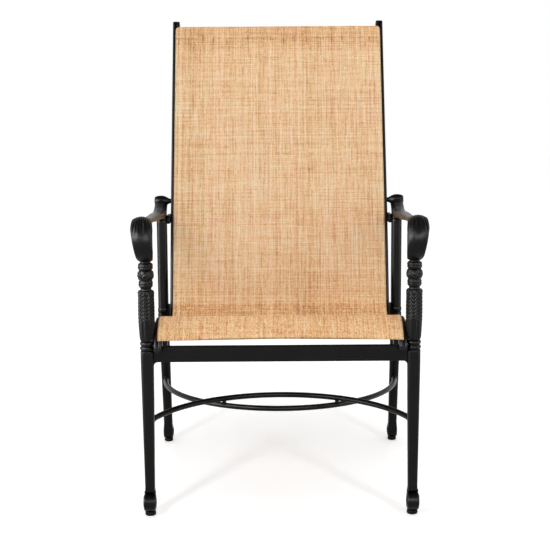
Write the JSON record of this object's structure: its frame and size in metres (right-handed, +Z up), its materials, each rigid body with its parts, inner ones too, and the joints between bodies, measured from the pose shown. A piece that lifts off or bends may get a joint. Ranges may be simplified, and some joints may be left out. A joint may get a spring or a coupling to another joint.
{
  "type": "sling patio chair",
  "caption": "High-back outdoor armchair with a black cast metal frame, turned front posts, scroll arms and a tan woven sling that forms seat and back.",
  "frame": {"origin": "on the floor, under the middle of the chair's outline", "axes": "+Z up along the height, +X to the right as seen from the front, the chair faces -Y"},
  "size_m": [0.6224, 0.772, 1.0785],
  "materials": {
    "frame": "black satin powder coat",
    "sling": "coarse woven tan and cream crosshatch",
    "plastic": "matt black",
    "fixings": "blackened"
  },
  "bodies": {
    "root": {"front_leg_left": "frame", "front_post_left": "frame", "armrest_left": "frame", "rear_leg_left": "frame", "side_apron_left": "frame", "front_seat_lug_left": "frame", "apron_lug_left": "frame", "rear_seat_lug_left": "frame", "back_lug_left": "frame", "sling_rail_left": "frame", "stretcher_weld_left": "frame", "rail_front_cap_left": "plastic", "rail_top_cap_left": "plastic", "sling_spline_left": "plastic", "front_glide_left": "plastic", "rear_glide_left": "plastic", "apron_spacer_left": "fixings", "front_spreader_bolt_left": "fixings", "top_spreader_bolt_left": "fixings", "rear_seat_bolt_left": "fixings", "front_lug_bolt_left": "fixings", "back_lug_bolt_left": "fixings", "back_lug_nut_left": "fixings", "arm_bolt_left": "fixings", "front_leg_right": "frame", "front_post_right": "frame", "armrest_right": "frame", "rear_leg_right": "frame", "side_apron_right": "frame", "front_seat_lug_right": "frame", "apron_lug_right": "frame", "rear_seat_lug_right": "frame", "back_lug_right": "frame", "sling_rail_right": "frame", "stretcher_weld_right": "frame", "rail_front_cap_right": "plastic", "rail_top_cap_right": "plastic", "sling_spline_right": "plastic", "front_glide_right": "plastic", "rear_glide_right": "plastic", "apron_spacer_right": "fixings", "front_spreader_bolt_right": "fixings", "top_spreader_bolt_right": "fixings", "rear_seat_bolt_right": "fixings", "front_lug_bolt_right": "fixings", "back_lug_bolt_right": "fixings", "back_lug_nut_right": "fixings", "arm_bolt_right": "fixings", "front_apron": "frame", "rear_apron": "frame", "front_stretcher": "frame", "rear_stretcher": "frame", "front_spreader": "frame", "seat_corner_spreader": "frame", "top_spreader": "frame", "sling_fabric": "sling"}
  },
  "joints": []
}
